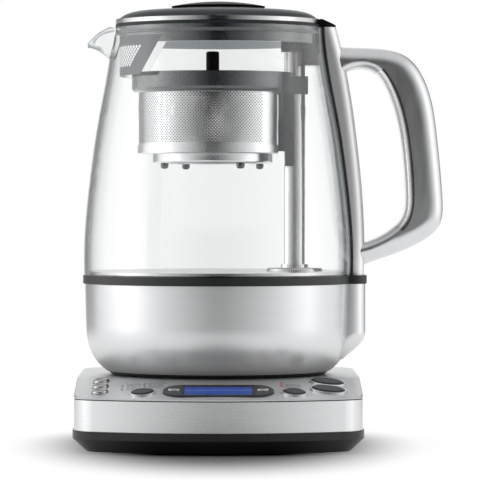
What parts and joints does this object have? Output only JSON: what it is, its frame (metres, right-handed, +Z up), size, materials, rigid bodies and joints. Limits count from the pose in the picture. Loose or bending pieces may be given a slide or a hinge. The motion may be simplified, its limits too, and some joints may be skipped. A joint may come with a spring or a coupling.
{
  "type": "automatic tea maker",
  "caption": "Glass jug tea maker with a motor-lifted perforated basket, spout, loop handle and lid, on a round-seat power base with display and push buttons.",
  "frame": {"origin": "the jug's axis where it meets the plane that the feet stand on", "axes": "+Z up along the jug axis, +X to the handle (the spout points to -X), -Y to the control panel"},
  "size_m": [0.2161, 0.2028, 0.2614],
  "materials": {
    "black_case": "satin moulded",
    "foot_rubber": "matte",
    "screw_steel": "zinc plated",
    "band_steel": "brushed along the band",
    "gasket_black": "satin",
    "silver_plastic": "silver satin paint",
    "bezel_grey": "satin gloss",
    "display_window": "clear",
    "display_blue": "backlit",
    "chrome_trim": "polished",
    "light_dots": "clear cap",
    "chrome_button": "chrome plated",
    "dark_button": "satin, finely textured",
    "circuit_board": "solder mask",
    "connector_black": "matte",
    "clear_glass": "clear, polished",
    "skirt_steel": "brushed round the body",
    "seal_black": "satin",
    "plinth_black": "satin",
    "inner_plastic": "plain",
    "floor_steel": "satin",
    "element_metal": "plain",
    "motor_metal": "plated can",
    "post_steel": "polished",
    "handle_metal": "polished satin",
    "spine_metal": "polished satin",
    "gloss_black": "gloss",
    "smoky_dome": "gloss",
    "slate_plastic": "satin gloss",
    "seal_silicone": "translucent grey",
    "sheet_steel": "perforated, satin",
    "magnet_metal": "nickel plated"
  },
  "bodies": {
    "base": {"base_lower_case": "black_case", "rubber_feet": "foot_rubber", "base_screws": "screw_steel", "base_side_band": "band_steel", "seam_gasket": "gasket_black", "base_top_shell": "silver_plastic", "cord_gland": "gasket_black", "lcd_bezel": "bezel_grey", "lcd_window": "display_window", "lcd_module": "display_blue", "button_rings": "chrome_trim", "indicator_leds": "light_dots", "control_board": "circuit_board", "power_board": "circuit_board", "base_connector": "connector_black"},
    "jug_socket": {"jug_socket": "connector_black"},
    "jug": {"glass_jug": "clear_glass", "steel_skirt": "skirt_steel", "seal_ring": "seal_black", "plinth": "plinth_black", "plinth_screws": "screw_steel", "inner_frame": "inner_plastic", "heating_plate": "floor_steel", "heating_element": "element_metal", "temperature_sensor": "screw_steel", "lift_motor": "motor_metal", "lift_post": "post_steel", "handle_spine": "spine_metal", "spine_gasket": "gasket_black", "spine_cap": "gloss_black", "handle_shell": "handle_metal", "handle_trim": "handle_metal", "handle_screws": "screw_steel"},
    "lid": {"lid_cap": "smoky_dome", "lid_trim_ring": "chrome_trim", "lid_knob": "gloss_black", "lid_plug": "slate_plastic", "lid_seal": "seal_silicone", "spout_strainer": "slate_plastic"},
    "basket": {"basket_rim": "slate_plastic", "basket_wall": "sheet_steel", "basket_band": "sheet_steel", "basket_cap": "sheet_steel", "basket_feet": "slate_plastic", "basket_bracket": "slate_plastic", "basket_magnet": "magnet_metal"},
    "basket_lid": {"basket_lid": "sheet_steel", "basket_lid_knob": "gloss_black"},
    "lift_nut": {"lift_nut": "magnet_metal"},
    "lift_screw": {"lift_screw": "screw_steel"},
    "small_button_front": {"small_button_front": "chrome_button"},
    "small_button_middle": {"small_button_middle": "chrome_button"},
    "small_button_rear": {"small_button_rear": "chrome_button"},
    "round_button_left": {"round_button_left": "dark_button"},
    "round_button_right": {"round_button_right": "dark_button"},
    "oval_button_front": {"oval_button_front": "dark_button"},
    "oval_button_rear": {"oval_button_rear": "dark_button"},
    "arrow_button_left": {"arrow_button_left": "chrome_button"},
    "arrow_button_right": {"arrow_button_right": "chrome_button"}
  },
  "joints": [
    {"name": "small_button_front_press", "type": "slide", "parent": "base", "child": "small_button_front", "axis": [0.0966, 0.1754, -0.9798], "range_m": [0, 0.0008], "stiffness_N_per_m": 600, "springref_m": -0.0005},
    {"name": "small_button_middle_press", "type": "slide", "parent": "base", "child": "small_button_middle", "axis": [0.1053, 0.1703, -0.9798], "range_m": [0, 0.0008], "stiffness_N_per_m": 600, "springref_m": -0.0005},
    {"name": "small_button_rear_press", "type": "slide", "parent": "base", "child": "small_button_rear", "axis": [0.1153, 0.1637, -0.9798], "range_m": [0, 0.0008], "stiffness_N_per_m": 600, "springref_m": -0.0005},
    {"name": "round_button_left_press", "type": "slide", "parent": "base", "child": "round_button_left", "axis": [0.0622, 0.1903, -0.9798], "range_m": [0, 0.0008], "stiffness_N_per_m": 600, "springref_m": -0.0005},
    {"name": "round_button_right_press", "type": "slide", "parent": "base", "child": "round_button_right", "axis": [-0.0622, 0.1903, -0.9798], "range_m": [0, 0.0008], "stiffness_N_per_m": 600, "springref_m": -0.0005},
    {"name": "oval_button_front_press", "type": "slide", "parent": "base", "child": "oval_button_front", "axis": [-0.0933, 0.1772, -0.9798], "range_m": [0, 0.0008], "stiffness_N_per_m": 600, "springref_m": -0.0005},
    {"name": "oval_button_rear_press", "type": "slide", "parent": "base", "child": "oval_button_rear", "axis": [-0.106, 0.1699, -0.9798], "range_m": [0, 0.0008], "stiffness_N_per_m": 600, "springref_m": -0.0005},
    {"name": "arrow_button_left_press", "type": "slide", "parent": "base", "child": "arrow_button_left", "axis": [0, 0.2002, -0.9798], "range_m": [0, 0.0008], "stiffness_N_per_m": 600, "springref_m": -0.0005},
    {"name": "arrow_button_right_press", "type": "slide", "parent": "base", "child": "arrow_button_right", "axis": [0, 0.2002, -0.9798], "range_m": [0, 0.0008], "stiffness_N_per_m": 600, "springref_m": -0.0005},
    {"name": "jug_lift", "type": "slide", "parent": "base", "child": "jug_socket", "axis": [0, 0, 1], "range_m": [0, 0.08]},
    {"name": "jug_swivel", "type": "hinge", "parent": "jug_socket", "child": "jug", "pos_m": [0, 0, 0.0413], "axis": [0, 0, 1], "continuous": true},
    {"name": "lid_lift", "type": "slide", "parent": "jug", "child": "lid", "axis": [0, 0, 1], "range_m": [0, 0.06]},
    {"name": "basket_lift", "type": "slide", "parent": "jug", "child": "basket", "axis": [0, 0, 1], "range_m": [-0.056, 0]},
    {"name": "basket_lid_lift", "type": "slide", "parent": "basket", "child": "basket_lid", "axis": [0, 0, 1], "range_m": [0, 0.003]},
    {"name": "lift_nut_slide", "type": "slide", "parent": "jug", "child": "lift_nut", "axis": [0, 0, 1], "range_m": [-0.056, 0]},
    {"name": "lift_screw_turn", "type": "hinge", "parent": "jug", "child": "lift_screw", "pos_m": [0.0452, 0, 0.1195], "axis": [0, 0, 1], "range_deg": [-2521, 1]}
  ],
  "couplings": [
    {"joint": "lift_nut_slide", "follows": "basket_lift", "ratio": 1},
    {"joint": "lift_screw_turn", "follows": "basket_lift", "rad_per_m": 785.4}
  ]
}
